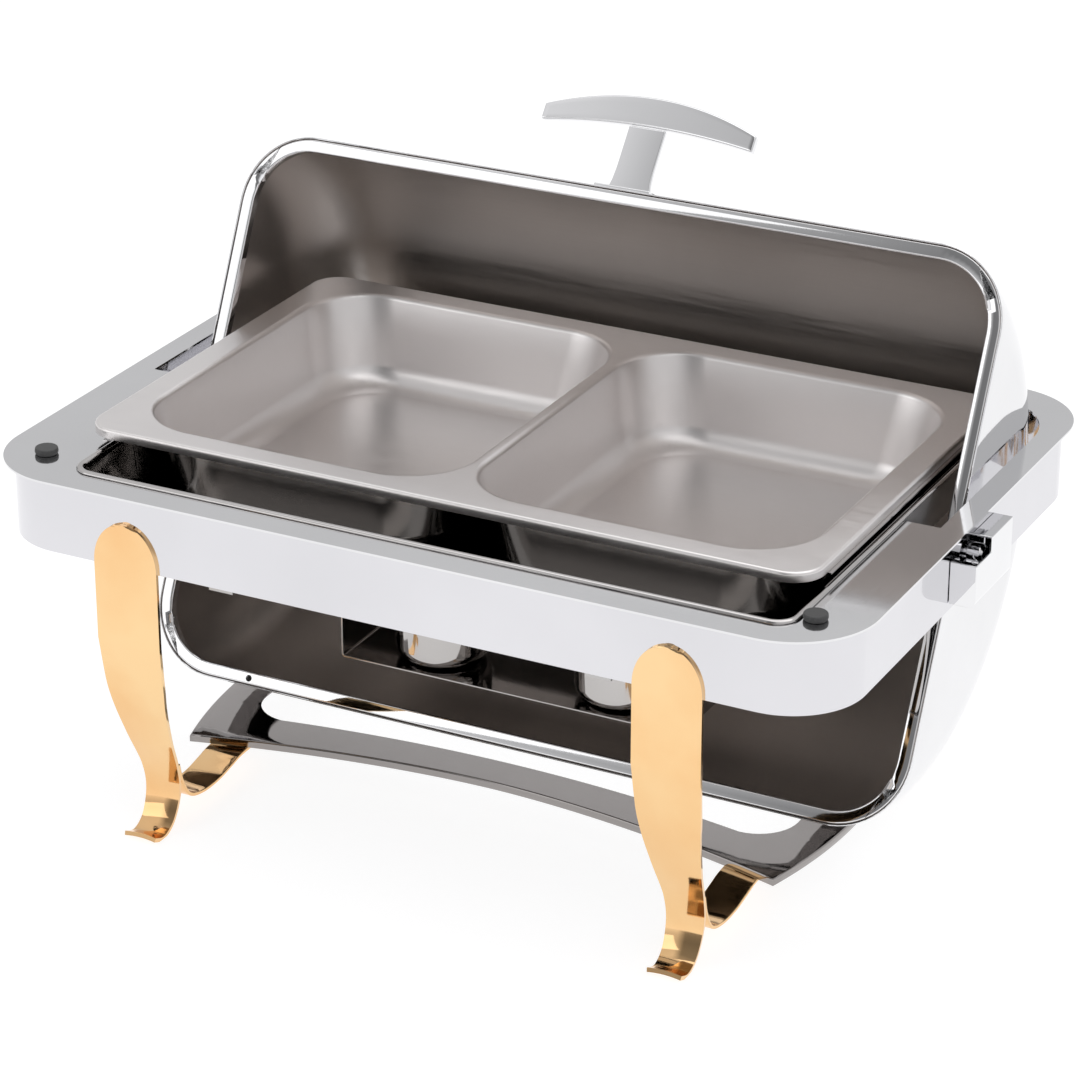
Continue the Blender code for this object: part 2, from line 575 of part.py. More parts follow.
# The handle stands straight out from the drum, a little behind the front edge of the lid
def build_handle(hinge, shell, chrome, steel):
    front_edge = math.pi - math.asin(RIM_OFFSET / LID_RADIUS)
    lean = front_edge - HANDLE_BACK

    def out(x, along, radius):
        turn = lean - along / LID_RADIUS
        return (x, radius * math.cos(turn), radius * math.sin(turn))

    def straight(x, across, radius):
        centre = Vector((0, math.cos(lean), math.sin(lean)))
        side = Vector((0, math.sin(lean), -math.cos(lean)))
        return Vector((x, 0, 0)) + centre * radius + side * across

    foot_low = LID_RADIUS + GAP
    foot_high = foot_low + FOOT_WALL
    half_arc = FOOT_ARC / 2 * LID_RADIUS
    rings = []
    for i in range(7):
        along = -half_arc + 2 * half_arc * i / 6
        rings.append([out(x, along, radius) for x, radius in
                      ((-FOOT_WIDTH / 2, foot_low), (FOOT_WIDTH / 2, foot_low),
                       (FOOT_WIDTH / 2, foot_high), (-FOOT_WIDTH / 2, foot_high))])
    foot = loft("handle_foot", rings, chrome, hinge)

    base = foot_high + GAP
    top = base + POST_LENGTH
    section = [(-POST_WIDTH / 2, -POST_WALL / 2), (POST_WIDTH / 2, -POST_WALL / 2),
               (POST_WIDTH / 2, POST_WALL / 2), (-POST_WIDTH / 2, POST_WALL / 2)]
    loft("handle_post", [[straight(x, across, radius) for x, across in section]
                         for radius in (base, top)], chrome, hinge)

    sag = BAR_RISE_INNER * (POST_WIDTH / 2 / BAR_HALF) ** 2
    under = top + GAP + sag
    steps = 16
    spots = [BAR_HALF * (2 * i / steps - 1) for i in range(steps + 1)]
    lower = [(x, under - BAR_RISE_INNER * (x / BAR_HALF) ** 2) for x in spots]
    upper = [(x, under + BAR_HEIGHT - BAR_RISE_OUTER * (x / BAR_HALF) ** 2) for x in reversed(spots)]
    plate("handle_crossbar", lower + upper, -BAR_WALL / 2, BAR_WALL / 2, chrome, hinge,
          place=lambda u, v, depth: straight(u, depth, v))

    for side, sx in SIDES:
        x = sx * HANDLE_SCREW_X
        inner = straight(x, 0, LID_RADIUS - 0.0060)
        outer = straight(x, 0, foot_high + GAP)
        combine(foot, rod(f"foot_hole_{side}", 0.0018 + BORE_PLAY, straight(x, 0, 0.19),
                          straight(x, 0, 0.21), None, hinge, steps=12))
        combine(shell, rod(f"shell_hole_{side}", 0.0018 + BORE_PLAY, straight(x, 0, 0.19),
                           straight(x, 0, 0.21), None, hinge, steps=12))
        length = (outer - inner).length
        turned(f"handle_screw_{side}",
               [(0.0, 0.0), (0.0018, 0.0), (0.0018, length), (0.0030, length),
                (0.0030, length + 0.0010), (0.0020, length + 0.0018), (0.0, length + 0.0018)],
               inner, outer - inner, steel, hinge, steps=12)


# The middle of the leg's plate from top to foot, as (distance out from the middle of the frame, z)
def leg_path():
    face = SKIRT_HALF_Y + GAP + LEG_WALL / 2
    low = LEG_WALL / 2
    knee = [(face, 0.150), (face - 0.0066, 0.107), (face - 0.0180, 0.073), (face - 0.0298, 0.045),
            (face - 0.0325, 0.026), (face - 0.0255, 0.0085), (face - 0.0135, low),
            (face - 0.0020, 0.0050)]
    straight = [(face, LEG_TOP - drop) for drop in (0.0, 0.001, 0.003, 0.007, 0.013, 0.021, 0.030, 0.050)]
    return straight + smooth_path(knee, 3)


# Half the leg's width at a height: a rounded top, a long taper and a narrow ankle
def leg_half_width(distance, z):
    top_round = 0.030
    if z > LEG_TOP - top_round:
        rise = (z - LEG_TOP + top_round) / top_round
        return max(LEG_HALF_WIDTH * math.sqrt(max(1.0 - rise ** 2, 0.0)), 0.0015)
    taper = ((0.150, 1.0), (0.115, 0.94), (0.090, 0.82), (0.065, 0.69), (0.045, 0.60), (0.030, 0.565),
             (0.000, 0.50))
    for (high, wide), (low, narrow) in zip(taper, taper[1:]):
        if low <= z < high:
            return LEG_HALF_WIDTH * (narrow + (wide - narrow) * (z - low) / (high - low))
    return LEG_HALF_WIDTH


def build_legs(gold, steel):
    path = leg_path()
    widths = [leg_half_width(u, z) for u, z in path]
    face = SKIRT_HALF_Y + GAP
    strap_points = [(face - 0.0318, 0.0475), (face - 0.0358, 0.0330), (face - 0.0446, 0.0190),
                    (face - 0.0611, 0.0135), (face - 0.0811, 0.0132), (face - 0.0981, 0.0160),
                    (face - 0.1121, 0.0184), (face - 0.1400, 0.0187)]
    strap_path = smooth_path(strap_points, 3)
    stud_end = SKIRT_HALF_Y - SKIRT_WALL - GAP - NUT_LENGTH - 0.001
    for where, sx, sy in CORNERS:
        def place(u, w, z, sx=sx, sy=sy):
            return (sx * (LEG_X + w), sy * u, z)

        leg = strip(f"leg_{where}", path, widths, LEG_WALL, place, gold, smooth=True)
        combine(leg, rod(f"leg_stud_{where}", STUD_RADIUS, (sx * LEG_X, sy * (face + LEG_WALL / 2), STUD_Z),
                         (sx * LEG_X, sy * stud_end, STUD_Z), steps=12), "UNION")
        turned(f"leg_nut_{where}", ring_profile(STUD_RADIUS + BORE_PLAY, NUT_RADIUS, NUT_LENGTH),
               (sx * LEG_X, sy * (SKIRT_HALF_Y - SKIRT_WALL - GAP), STUD_Z), (0, -sy, 0), steel, steps=12)
        strap = strip(f"leg_strap_{where}", strap_path, [LEG_STRAP_WIDTH / 2] * len(strap_path),
                      LEG_STRAP_WALL, place, gold, smooth=True)
        spot = (sx * LEG_X, sy * SHELF_STUD_Y)
        combine(strap, rod(f"strap_hole_{where}", SHELF_STUD_RADIUS + BORE_PLAY, (*spot, 0.010),
                           (*spot, 0.030), steps=12))


# The shelf's outline: the front and back edges curve in, the sides bow out
def shelf_outline(inset):
    def edge_y(x):
        share = min(abs(x) / SHELF_CORNER_X, 1.0)
        return SHELF_WAIST_Y + (SHELF_CORNER_Y - SHELF_WAIST_Y) * share ** 1.8 - inset

    def side_x(y):
        share = min(abs(y) / SHELF_CORNER_Y, 1.0)
        return SHELF_BOW_X - (SHELF_BOW_X - SHELF_CORNER_X) * share ** 2 - inset

    steps = 16
    reach = SHELF_CORNER_X - inset
    xs = [reach * (2 * i / steps - 1) for i in range(steps + 1)]
    ys = [edge_y(reach) * (2 * i / 8 - 1) for i in range(1, 8)]
    return ([(x, -edge_y(x)) for x in xs] + [(side_x(y), y) for y in ys]
            + [(-x, edge_y(x)) for x in xs] + [(-side_x(y), -y) for y in ys])


def shelf_hole():
    corner = 0.030
    steps = 12
    reach = SHELF_HOLE_X - corner
    xs = [reach * (2 * i / steps - 1) for i in range(1, steps)]

    def edge_y(x):
        return SHELF_HOLE_Y + (SHELF_HOLE_END_Y - SHELF_HOLE_Y) * (abs(x) / reach) ** 2

    low = SHELF_HOLE_END_Y - corner
    return (arc(-reach, -low, corner, 180, 270, 5) + [(x, -edge_y(x)) for x in xs]
            + arc(reach, -low, corner, 270, 360, 5) + arc(reach, low, corner, 0, 90, 5)
            + [(-x, edge_y(x)) for x in xs] + arc(-reach, low, corner, 90, 180, 5))


def build_shelf(dark_steel, steel, rubber):
    lip_bottom = SHELF_TOP - SHELF_LIP
    under = SHELF_TOP - SHELF_WALL
    shelf = plate("shelf", shelf_outline(0.0), lip_bottom, SHELF_TOP, dark_steel)
    combine(shelf, plate("shelf_underside", shelf_outline(SHELF_WALL), lip_bottom - 0.01, under))
    combine(shelf, plate("shelf_opening", shelf_hole(), lip_bottom - 0.01, SHELF_TOP + 0.01))
    strap_mid = 0.0187
    strap_top = strap_mid + LEG_STRAP_WALL / 2 + GAP
    strap_low = strap_mid - LEG_STRAP_WALL / 2 - GAP
    nut_length = 0.0024
    for where, sx, sy in CORNERS:
        spot = (sx * LEG_X, sy * SHELF_STUD_Y)
        combine(shelf, rod(f"shelf_stud_{where}", SHELF_STUD_RADIUS, (*spot, strap_low - nut_length - 0.0008),
                           (*spot, under + SHELF_WALL / 2), steps=12), "UNION")
        turned(f"shelf_washer_{where}",
               ring_profile(SHELF_STUD_RADIUS + BORE_PLAY, SHELF_WASHER_RADIUS, under - GAP - strap_top),
               (*spot, strap_top), (0, 0, 1), rubber, steps=16)
        turned(f"shelf_nut_{where}",
               ring_profile(SHELF_STUD_RADIUS + BORE_PLAY, 0.0040, nut_length),
               (*spot, strap_low - nut_length), (0, 0, 1), steel, steps=12)


def build():
    clear_scene()
    mirror_steel = make_material("mirror_steel", (0.78, 0.78, 0.79), 1.0, 0.06)
    satin_steel = make_material("satin_steel", (0.66, 0.65, 0.64), 1.0, 0.32)
    dark_steel = make_material("dark_mirror_steel", (0.42, 0.40, 0.39), 1.0, 0.10)
    chrome = make_material("chrome", (0.86, 0.86, 0.87), 1.0, 0.04)
    gold = make_material("gold_plate", (0.98, 0.72, 0.40), 1.0, 0.12)
    rubber = make_material("dark_rubber", (0.06, 0.06, 0.06), 0.0, 0.70)

    hinge = bpy.data.objects.new("lid_hinge", None)
    bpy.context.scene.collection.objects.link(hinge)
    hinge.location = (0, 0, AXIS_Z)
    hinge.rotation_euler = (-LID_OPEN_ANGLE, 0, 0)

    build_frame(mirror_steel, rubber)
    build_water_pan(mirror_steel)
    build_belt(satin_steel)
    build_food_pan(satin_steel)
    build_burners(mirror_steel, chrome)
    build_pivots(satin_steel, chrome)
    build_lid(hinge, mirror_steel, chrome, satin_steel)
    build_legs(gold, satin_steel)
    build_shelf(dark_steel, satin_steel, rubber)


build()
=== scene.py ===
"""Roll-top chafing dish food warmer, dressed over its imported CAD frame.

Metres, +Z is up and -Y is the front."""

import math

import bmesh
import bpy
from mathutils import Matrix, Vector
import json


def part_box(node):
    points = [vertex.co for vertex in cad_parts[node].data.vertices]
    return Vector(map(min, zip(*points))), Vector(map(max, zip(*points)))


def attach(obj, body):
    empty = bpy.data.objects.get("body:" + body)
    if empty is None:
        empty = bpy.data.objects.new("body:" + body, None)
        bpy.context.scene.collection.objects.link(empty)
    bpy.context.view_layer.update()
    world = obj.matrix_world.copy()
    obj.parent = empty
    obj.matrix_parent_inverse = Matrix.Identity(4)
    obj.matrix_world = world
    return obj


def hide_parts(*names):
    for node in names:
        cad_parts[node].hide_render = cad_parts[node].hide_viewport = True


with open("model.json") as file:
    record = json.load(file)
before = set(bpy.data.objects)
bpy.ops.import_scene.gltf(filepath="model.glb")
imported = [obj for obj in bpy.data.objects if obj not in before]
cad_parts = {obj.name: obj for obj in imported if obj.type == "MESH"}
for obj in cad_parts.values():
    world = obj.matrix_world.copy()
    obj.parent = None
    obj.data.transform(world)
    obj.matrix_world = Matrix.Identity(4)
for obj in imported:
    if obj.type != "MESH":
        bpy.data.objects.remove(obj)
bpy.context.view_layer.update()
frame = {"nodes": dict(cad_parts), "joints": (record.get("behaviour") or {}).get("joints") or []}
nodes = frame["nodes"]

# ---------------------------------------------------------------- studio
# A white floor under a broad overhead softbox and a smaller one at the front left. The polished
# steel reflects a plain grey room. The camera looks down from the front right.

FLOOR_HALF = 9.0
floor_mesh = bpy.data.meshes.new("floor")
bm = bmesh.new()
bmesh.ops.create_grid(bm, x_segments=1, y_segments=1, size=FLOOR_HALF)
bm.to_mesh(floor_mesh)
bm.free()
floor = bpy.data.objects.new("floor", floor_mesh)
bpy.context.scene.collection.objects.link(floor)
floor_white = bpy.data.materials.new("floor_white")
floor_white.use_nodes = True
floor_shader = floor_white.node_tree.nodes["Principled BSDF"]
floor_shader.inputs["Base Color"].default_value = (0.30, 0.30, 0.305, 1.0)
floor_shader.inputs["Roughness"].default_value = 0.9
floor_shader.inputs["Specular IOR Level"].default_value = 0.0
floor_shader.inputs["Emission Color"].default_value = (1.0, 1.0, 1.0, 1.0)
floor_shader.inputs["Emission Strength"].default_value = 0.85
floor_mesh.materials.append(floor_white)

world = bpy.data.worlds.new("studio_room")
world.use_nodes = True
bpy.context.scene.world = world
room = world.node_tree
room_coords = room.nodes.new("ShaderNodeTexCoord")
room_split = room.nodes.new("ShaderNodeSeparateXYZ")
room_ramp = room.nodes.new("ShaderNodeValToRGB")
# The front of the room is darker in its middle, between two bright ends.
room_sides = room.nodes.new("ShaderNodeValToRGB")
side_shift = room.nodes.new("ShaderNodeMapRange")
side_shift.inputs["From Min"].default_value = -1.0
front_share = room.nodes.new("ShaderNodeMapRange")
front_share.inputs["From Min"].default_value = 0.30
front_share.inputs["From Max"].default_value = -0.50
room_mix = room.nodes.new("ShaderNodeMix")
room_mix.data_type = "RGBA"
room_mix.blend_type = "MULTIPLY"
link = room.links.new
link(room_coords.outputs["Generated"], room_split.inputs["Vector"])
link(room_split.outputs["Z"], room_ramp.inputs["Fac"])
link(room_split.outputs["X"], side_shift.inputs["Value"])
link(side_shift.outputs["Result"], room_sides.inputs["Fac"])
link(room_split.outputs["Y"], front_share.inputs["Value"])
link(front_share.outputs["Result"], room_mix.inputs["Factor"])
link(room_ramp.outputs["Color"], room_mix.inputs["A"])
link(room_sides.outputs["Color"], room_mix.inputs["B"])
link(room_mix.outputs["Result"], room.nodes["Background"].inputs["Color"])
side_stops = room_sides.color_ramp.elements
side_stops[0].color = (1.0, 1.0, 1.0, 1.0)
side_stops[1].color = (1.0, 1.0, 1.0, 1.0)
for across, grey in ((0.28, 1.0), (0.34, 0.30), (0.56, 0.30), (0.68, 1.0)):
    stop = side_stops.new(across)
    stop.color = (grey, grey, grey, 1.0)
stops = room_ramp.color_ramp.elements
stops[0].position = 0.0
stops[0].color = (0.95, 0.95, 0.97, 1.0)
stops[1].position = 1.0
stops[1].color = (0.60, 0.60, 0.61, 1.0)
for height, grey in ((0.12, 0.72), (0.30, 0.60), (0.55, 0.72), (0.85, 0.80)):
    stop = stops.new(height)
    stop.color = (grey, grey, grey * 1.01, 1.0)
room.nodes["Background"].inputs["Strength"].default_value = 1.0


def softbox(name, place, target, size, watts):
    """A rectangular area light that faces the target."""
    light = bpy.data.lights.new(name, "AREA")
    light.shape = "RECTANGLE"
    light.size, light.size_y = size
    light.energy = watts
    lamp = bpy.data.objects.new(name, light)
    bpy.context.scene.collection.objects.link(lamp)
    lamp.location = place
    lamp.rotation_euler = (Vector(target) - Vector(place)).to_track_quat("-Z", "Y").to_euler()


softbox("overhead_softbox", (0.2, 0.3, 3.2), (0.0, 0.0, 0.2), (3.2, 3.0), 27.0)
softbox("front_softbox", (-2.6, -2.8, 1.75), (0.0, 0.0, 0.2), (2.4, 2.2), 13.5)

CAMERA_AZIMUTH = math.radians(27.27)
CAMERA_ELEVATION = math.radians(24.47)
CAMERA_DISTANCE = 2.509
CAMERA_TARGET = Vector((0.0481, -0.0994, 0.2286))
camera_data = bpy.data.cameras.new("camera")
camera_data.sensor_width = 36.0
camera_data.lens = 128.5
camera = bpy.data.objects.new("camera", camera_data)
bpy.context.scene.collection.objects.link(camera)
toward_camera = Vector((math.sin(CAMERA_AZIMUTH) * math.cos(CAMERA_ELEVATION),
                        -math.cos(CAMERA_AZIMUTH) * math.cos(CAMERA_ELEVATION),
                        math.sin(CAMERA_ELEVATION)))
camera.location = CAMERA_TARGET + toward_camera * CAMERA_DISTANCE
camera.rotation_euler = (-toward_camera).to_track_quat("-Z", "Y").to_euler()
bpy.context.scene.camera = camera
bpy.context.scene.view_settings.view_transform = "Standard"

# ---------------------------------------------------------------- frame plate
# The frame's flat top is one pressed sheet of mirror-polished stainless steel. Its opening is wide
# at the back, where the lid's ends drop through, and narrow at the front, round the water pan.


def steel_finish(name, colour, shine, grain, depth, cloud=5.0):
    """Stainless steel. Grain is the scratches' fineness along x, y and z, shine is the range of
    roughness, depth is the scratches' strength and cloud is the fineness of the blotches."""
    finish = bpy.data.materials.new(name)
    finish.use_nodes = True
    tree = finish.node_tree
    shader = tree.nodes["Principled BSDF"]
    shader.inputs["Metallic"].default_value = 1.0
    coords = tree.nodes.new("ShaderNodeTexCoord")
    stretch = tree.nodes.new("ShaderNodeMapping")
    stretch.inputs["Scale"].default_value = grain
    lines = tree.nodes.new("ShaderNodeTexNoise")
    lines.inputs["Scale"].default_value = 1.0
    lines.inputs["Detail"].default_value = 3.0
    blotch = tree.nodes.new("ShaderNodeTexNoise")
    blotch.inputs["Scale"].default_value = cloud
    blotch.inputs["Detail"].default_value = 5.0
    both = tree.nodes.new("ShaderNodeMath")
    both.operation = "MULTIPLY"
    rough = tree.nodes.new("ShaderNodeMapRange")
    rough.inputs["From Min"].default_value = 0.12
    rough.inputs["From Max"].default_value = 0.38
    rough.inputs["To Min"].default_value = shine[0]
    rough.inputs["To Max"].default_value = shine[1]
    tone = tree.nodes.new("ShaderNodeValToRGB")
    tone.color_ramp.elements[0].position = 0.35
    tone.color_ramp.elements[0].color = (*[c * 0.93 for c in colour], 1.0)
    tone.color_ramp.elements[1].position = 0.65
    tone.color_ramp.elements[1].color = (*colour, 1.0)
    bump = tree.nodes.new("ShaderNodeBump")
    bump.inputs["Strength"].default_value = depth
    bump.inputs["Distance"].default_value = 0.0002
    link = tree.links.new
    link(coords.outputs["Object"], stretch.inputs["Vector"])
    link(stretch.outputs["Vector"], lines.inputs["Vector"])
    link(coords.outputs["Object"], blotch.inputs["Vector"])
    link(lines.outputs["Fac"], both.inputs[0])
    link(blotch.outputs["Fac"], both.inputs[1])
    link(both.outputs["Value"], rough.inputs["Value"])
    link(rough.outputs["Result"], shader.inputs["Roughness"])
    link(blotch.outputs["Fac"], tone.inputs["Fac"])
    link(tone.outputs["Color"], shader.inputs["Base Color"])
    link(lines.outputs["Fac"], bump.inputs["Height"])
    link(bump.outputs["Normal"], shader.inputs["Normal"])
    return finish


def finish_piece(name, bm, materials, body, replaced=(), wall=0.0, edge=0.0, inner=0):
    """Turns a bmesh into a smooth piece on its body. A sheet gets a wall inward of its faces, or
    outward where wall is negative. Hard edges are eased, and inner is the far side's material."""
    bmesh.ops.remove_doubles(bm, verts=bm.verts, dist=1e-6)
    bmesh.ops.recalc_face_normals(bm, faces=bm.faces)
    mesh = bpy.data.meshes.new(name)
    bm.to_mesh(mesh)
    bm.free()
    mesh.shade_smooth()
    for material in materials:
        mesh.materials.append(material)
    piece = bpy.data.objects.new(name, mesh)
    bpy.context.scene.collection.objects.link(piece)
    if wall:
        sheet = piece.modifiers.new("sheet_wall", "SOLIDIFY")
        sheet.thickness = abs(wall)
        sheet.offset = -math.copysign(1.0, wall)
        sheet.material_offset = inner
        sheet.use_even_offset = True
    if edge:
        eased = piece.modifiers.new("eased_edge", "BEVEL")
        eased.width = edge
        eased.segments = 3
        eased.limit_method = "ANGLE"
        eased.angle_limit = math.radians(50.0)
    if wall or edge:
        level = piece.modifiers.new("flat_faces", "WEIGHTED_NORMAL")
        level.keep_sharp = True
    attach(piece, body)
    if replaced:
        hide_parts(*replaced)
    return piece


def corner_ring(bm, corners, radii, z, segments=12):
    """A closed ring of edges round an outline, with each corner turned to its own radius."""
    old_edges, old_faces = set(bm.edges), set(bm.faces)
    points = [bm.verts.new((x, y, z)) for x, y in corners]
    bm.faces.new(points)
    for point, radius in zip(points, radii):
        bmesh.ops.bevel(bm, geom=[point], offset=radius, segments=segments, profile=0.5,
                        affect="VERTICES", material=-1)
    made = [face for face in bm.faces if face not in old_faces]
    bmesh.ops.delete(bm, geom=made, context="FACES_ONLY")
    return [edge for edge in bm.edges if edge not in old_edges]


def box_corners(left, right, front, rear):
    """The four corners of a rectangle, from the front left and round."""
    return ((left, front), (right, front), (right, rear), (left, rear))


def bridge(bm, rings):
    """Joins each ring of edges to the next with a band of faces."""
    for low, high in zip(rings, rings[1:]):
        bmesh.ops.bridge_loops(bm, edges=low + high)


def fill_between(bm, *rings):
    """A flat sheet inside the first ring and outside the others."""
    bmesh.ops.triangle_fill(bm, use_beauty=True, use_dissolve=False,
                            edges=[edge for ring in rings for edge in ring])


mirror_steel = steel_finish("mirror_steel", (0.80, 0.80, 0.81), (0.06, 0.12), (900, 60, 900),
                            0.010)

plate_low, plate_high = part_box("frame_top")
PLATE_CORNER = 0.058
WELL_LEFT, WELL_RIGHT = -0.2455, 0.2665
WELL_FRONT, WELL_REAR = -0.1975, 0.1745
OPENING_PLAY = 0.0015
OPENING_FRONT_CORNER, OPENING_NOTCH_CORNER, OPENING_REAR_CORNER = 0.0135, 0.001, 0.0585
SLOT_X, SLOT_FRONT, SLOT_REAR = 0.2957, -0.0225, 0.2035

bm = bmesh.new()
outer = corner_ring(bm, box_corners(plate_low.x, plate_high.x, plate_low.y, plate_high.y),
                    [PLATE_CORNER] * 4, plate_high.z, segments=20)
mouth_left, mouth_right = WELL_LEFT - OPENING_PLAY, WELL_RIGHT + OPENING_PLAY
mouth_front = WELL_FRONT - OPENING_PLAY
front_corners = [OPENING_FRONT_CORNER] * 2
notch_corners = [OPENING_NOTCH_CORNER] * 2
rear_corners = [OPENING_REAR_CORNER] * 2
opening = corner_ring(bm, ((mouth_left, mouth_front), (mouth_right, mouth_front),
                           (mouth_right, SLOT_FRONT), (SLOT_X, SLOT_FRONT), (SLOT_X, SLOT_REAR),
                           (-SLOT_X, SLOT_REAR), (-SLOT_X, SLOT_FRONT), (mouth_left, SLOT_FRONT)),
                      front_corners + notch_corners + rear_corners + notch_corners, plate_high.z)
fill_between(bm, outer, opening)
finish_piece("plate_top", bm, [mirror_steel], "frame", ["frame_top"],
             wall=plate_high.z - plate_low.z, edge=0.0006)

# ---------------------------------------------------------------- skirt
# A band of the same polished sheet is folded round the frame and welded under the plate.

skirt_low, skirt_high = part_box("frame_skirt")
SKIRT_CORNER = 0.0508
SKIRT_WALL = 0.0012

bm = bmesh.new()
skirt_corners = box_corners(skirt_low.x, skirt_high.x, skirt_low.y, skirt_high.y)
band = [corner_ring(bm, skirt_corners, [SKIRT_CORNER] * 4, z, segments=20)
        for z in (skirt_low.z, skirt_high.z)]
bridge(bm, band)
skirt_steel = steel_finish("skirt_steel", (0.73, 0.725, 0.75), (0.05, 0.10), (60, 60, 900), 0.010)
finish_piece("skirt_band", bm, [skirt_steel], "frame", ["frame_skirt"],
             wall=SKIRT_WALL, edge=0.0004)

# ---------------------------------------------------------------- water pan
# The water pan hangs in the opening by a narrow rolled bead. It is drawn from polished sheet, and
# its walls lean in a little towards a flat floor.

WELL_WALL = 0.0012
WELL_RIM = 0.0035
WELL_FRONT_CORNER, WELL_REAR_CORNER = 0.012, 0.030
well_low, well_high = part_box("water_pan")
WELL_DRAFTS = (0.0070, 0.0070, 0.0045, 0.0080)
WELL_BEND = 0.009
BEAD_LIFT = 0.0003
BEAD_STEPS = 8


def well_ring(bm, z, grow, corner_grow=0.0):
    """The water pan's outline at a height, pushed out by grow. Its walls lean in below the
    plate."""
    drop = max(plate_high.z - z, 0.0) / (plate_high.z - well_low.z)
    left, right, front, rear = [draft * drop for draft in WELL_DRAFTS]
    corners = box_corners(WELL_LEFT + left - grow, WELL_RIGHT - right + grow,
                          WELL_FRONT + front - grow, WELL_REAR - rear + grow)
    near, far = WELL_FRONT_CORNER + grow + corner_grow, WELL_REAR_CORNER + grow + corner_grow
    return corner_ring(bm, corners, (near, near, far, far), z)


def paint(material, *names):
    """Gives CAD nodes that stay as they are their finish."""
    for name in names:
        nodes[name].data.materials.clear()
        nodes[name].data.materials.append(material)


bm = bmesh.new()
bead_foot = plate_high.z + BEAD_LIFT
bead_height = well_high.z - plate_high.z - BEAD_LIFT
rings = [well_ring(bm, bead_foot, WELL_RIM)]
for i in range(1, BEAD_STEPS):
    turn = math.pi * i / BEAD_STEPS
    rings.append(well_ring(bm, bead_foot + math.sin(turn) * bead_height,
                           WELL_RIM / 2 + math.cos(turn) * WELL_RIM / 2))
for drop in (0.002, 0.020, 0.050):
    rings.append(well_ring(bm, plate_high.z - drop, -WELL_WALL))
floor_z = well_low.z + WELL_WALL
for i in range(6):
    turn = math.pi / 2 * i / 5
    tuck = WELL_BEND * (1 - math.cos(turn))
    rings.append(well_ring(bm, floor_z + WELL_BEND * (1 - math.sin(turn)), -WELL_WALL - tuck,
                           tuck * 0.6))
bridge(bm, rings)
bmesh.ops.contextual_create(bm, geom=rings[-1])
bmesh.ops.recalc_face_normals(bm, faces=bm.faces)
well_steel = steel_finish("well_steel", (0.60, 0.58, 0.57), (0.08, 0.16), (60, 60, 400), 0.02)
finish_piece("water_pan_bowl", bm, [well_steel], "water_pan", ["water_pan"],
             wall=-0.0008)
paint(well_steel, "pan_rest_left", "pan_rest_right")
dull_steel = steel_finish("dull_steel", (0.52, 0.51, 0.50), (0.28, 0.40), (80, 80, 500), 0.03)
paint(dull_steel, "pan_belt", "cradle_strap_left", "cradle_strap_right")

# ---------------------------------------------------------------- food pan
# One full-size pan of satin stainless steel, deep drawn with two compartments side by side. Its
# flat rim turns down into a short lip all round.

pan_low, pan_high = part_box("food_pan")
PAN_CORNER = 0.022
PAN_LIP = 0.0067
PAN_WALL = 0.0012
PAN_ROLL = 0.0022
PAN_FLANGE = 0.0220
DIVIDER_WIDTH = 0.0110
PAN_DRAFT = 0.0120
POCKET_SHOULDER, POCKET_HEEL = 0.0042, 0.0150
MOUTH_CORNER, WALL_CORNER, HEEL_CORNER = 0.052, 0.047, 0.046
pan_depth = pan_high.z - pan_low.z - PAN_WALL
pan_mid_y = (pan_low.y + pan_high.y) / 2

bm = bmesh.new()
lip_corners = box_corners(pan_low.x, pan_high.x, pan_low.y, pan_high.y)
lip = [corner_ring(bm, lip_corners, [PAN_CORNER] * 4, pan_high.z - PAN_LIP)]
for i in range(6):
    turn = math.pi / 2 * i / 5
    tuck = PAN_ROLL * (1 - math.cos(turn))
    lip.append(corner_ring(bm, box_corners(pan_low.x + tuck, pan_high.x - tuck,
                                           pan_low.y + tuck, pan_high.y - tuck),
                           [PAN_CORNER - tuck] * 4, pan_high.z - PAN_ROLL * (1 - math.sin(turn))))
bridge(bm, lip)


def pocket_ring(bm, sign, z, inward, corner):
    """A compartment's wall at a height, pushed in from its mouth by inward."""
    near = DIVIDER_WIDTH / 2 + inward
    far = pan_high.x - PAN_FLANGE - inward
    left, right = sorted((sign * near, sign * far))
    reach = (pan_high.y - pan_low.y) / 2 - PAN_FLANGE - inward
    return corner_ring(bm, box_corners(left, right, pan_mid_y - reach, pan_mid_y + reach),
                       [corner] * 4, z, segments=14)


mouths = []
slope = PAN_DRAFT / pan_depth
for sign in (-1, 1):
    pocket = []
    for i in range(7):
        turn = math.pi / 2 * i / 6
        z = pan_high.z - POCKET_SHOULDER * (1 - math.cos(turn))
        pocket.append(pocket_ring(bm, sign, z, POCKET_SHOULDER * (math.sin(turn) - 1),
                                  MOUTH_CORNER - POCKET_SHOULDER * math.sin(turn)))
    for drop in (0.012, 0.024, 0.036):
        pocket.append(pocket_ring(bm, sign, pan_high.z - drop, slope * drop, WALL_CORNER))
    for i in range(9):
        turn = math.pi / 2 * i / 8
        z = pan_high.z - pan_depth + POCKET_HEEL * (1 - math.sin(turn))
        tuck = POCKET_HEEL * (1 - math.cos(turn))
        inward = slope * (pan_high.z - z) + tuck
        pocket.append(pocket_ring(bm, sign, z, inward, HEEL_CORNER - 0.5 * tuck))
    bridge(bm, pocket)
    bmesh.ops.contextual_create(bm, geom=pocket[-1])
    mouths.append(pocket[0])
fill_between(bm, lip[-1], *mouths)
pan_steel = steel_finish("pan_steel", (0.86, 0.83, 0.82), (0.30, 0.40), (40, 240, 240), 0.03,
                         cloud=3.0)
# The far side of the pan's sheet is a much darker copy of the pan's steel: painted shade, for the
# shade down inside the water pan.
pan_far_side_painted_shade = steel_finish("pan_far_side_painted_shade", (0.26, 0.25, 0.24), (0.10, 0.16), (60, 60, 400),
                              0.02)
